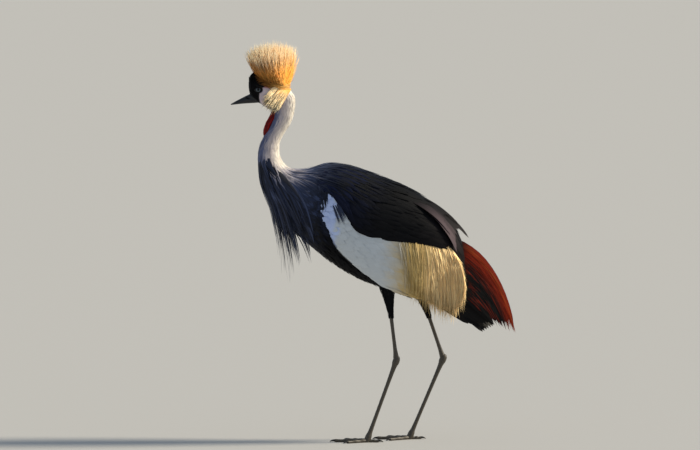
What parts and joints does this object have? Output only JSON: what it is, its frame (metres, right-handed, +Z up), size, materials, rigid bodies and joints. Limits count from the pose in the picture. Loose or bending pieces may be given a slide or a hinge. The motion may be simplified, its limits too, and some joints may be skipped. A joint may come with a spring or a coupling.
{
  "type": "crowned crane model",
  "caption": "Life-size still model of a standing grey crowned crane with golden crest, red wattle, drooping wings and long legs.",
  "frame": {"origin": "on the floor, below the middle of the bird's length, from the tip of the bill to the tips of the wing feathers", "axes": "+Z up, the bird faces -X and its left side is -Y"},
  "size_m": [0.7085, 0.204, 1.0094],
  "materials": {
    "head_skin": "matte",
    "horn": "satin",
    "eye": "gloss",
    "crest_bristles": "satin",
    "wattle_skin": "satin",
    "neck_feathers": "matte",
    "body_feathers": "matte",
    "mantle_feathers": "satin",
    "wing_feathers": "matte",
    "tail_feathers": "satin",
    "leg_scales": "satin"
  },
  "bodies": {
    "root": {"head": "head_skin", "bill_upper": "horn", "bill_lower": "horn", "eye_left": "eye", "eye_right": "eye", "crest": "crest_bristles", "wattle": "wattle_skin", "neck_upper": "neck_feathers", "neck_lower": "neck_feathers", "torso": "body_feathers", "mantle": "mantle_feathers", "wing_left": "wing_feathers", "wing_right": "wing_feathers", "tail": "tail_feathers", "thigh_left": "body_feathers", "shank_left": "leg_scales", "tarsus_left": "leg_scales", "toe_left_inner": "leg_scales", "claw_left_inner": "horn", "toe_left_middle": "leg_scales", "claw_left_middle": "horn", "toe_left_outer": "leg_scales", "claw_left_outer": "horn", "toe_left_hind": "leg_scales", "claw_left_hind": "horn", "thigh_right": "body_feathers", "shank_right": "leg_scales", "tarsus_right": "leg_scales", "toe_right_inner": "leg_scales", "claw_right_inner": "horn", "toe_right_middle": "leg_scales", "claw_right_middle": "horn", "toe_right_outer": "leg_scales", "claw_right_outer": "horn", "toe_right_hind": "leg_scales", "claw_right_hind": "horn"}
  },
  "joints": []
}
